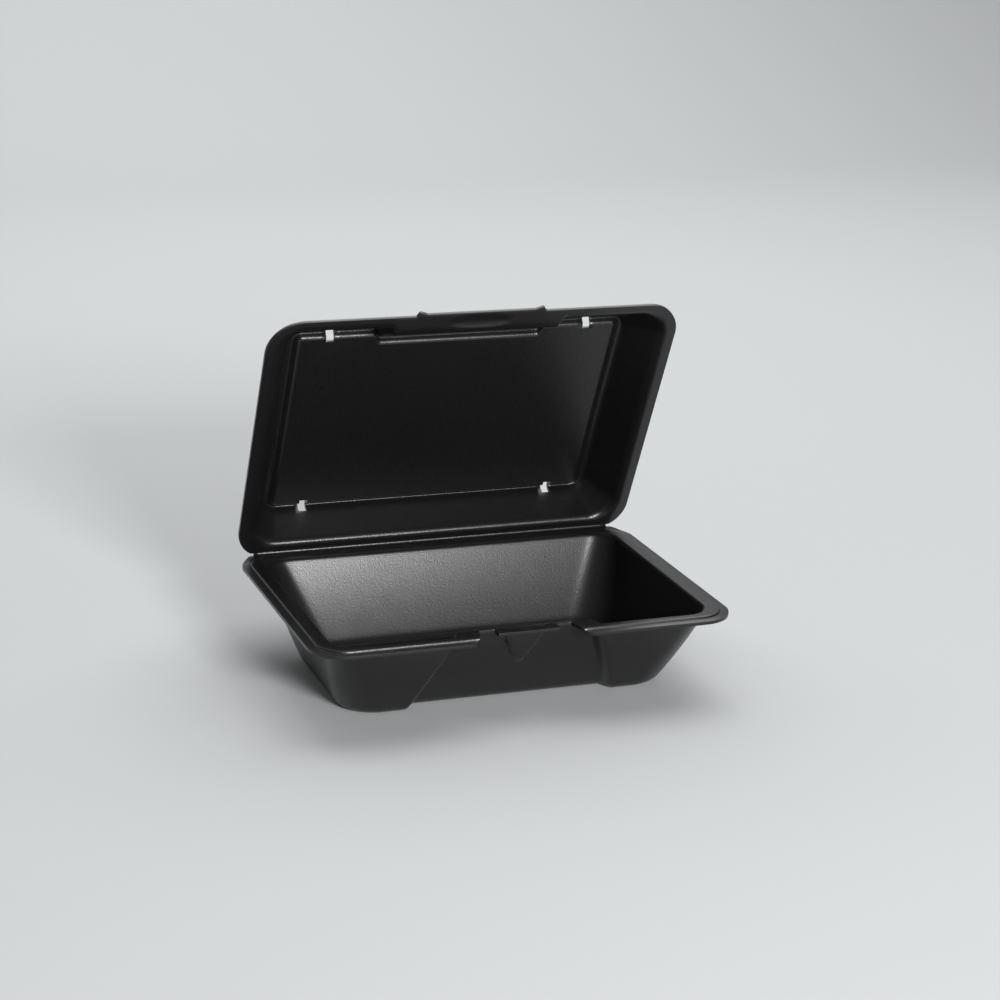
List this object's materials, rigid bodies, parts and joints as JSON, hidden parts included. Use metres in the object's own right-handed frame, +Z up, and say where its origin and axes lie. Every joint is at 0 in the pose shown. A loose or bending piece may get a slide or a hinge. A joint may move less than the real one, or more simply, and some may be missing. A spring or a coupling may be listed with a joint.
{
  "type": "foam clamshell food container",
  "caption": "Black foam clamshell take-away box: a deep tray with a stepped rim and a shallow hinged lid with a pull tab at its front edge, shown open.",
  "frame": {"origin": "centre of the tray's underside, on the surface that it stands on", "axes": "+X along the length of the box, +Y towards the hinge, +Z up"},
  "size_m": [0.2334, 0.1847, 0.2],
  "materials": {
    "black_foam": "satin"
  },
  "bodies": {
    "base": {"base_tray": "black_foam"},
    "lid": {"lid": "black_foam"}
  },
  "joints": [
    {"name": "lid_hinge", "type": "hinge", "parent": "base", "child": "lid", "pos_m": [0, 0.082, 0.0485], "axis": [-1, 0, 0], "range_deg": [-64.7, 115.3]}
  ]
}
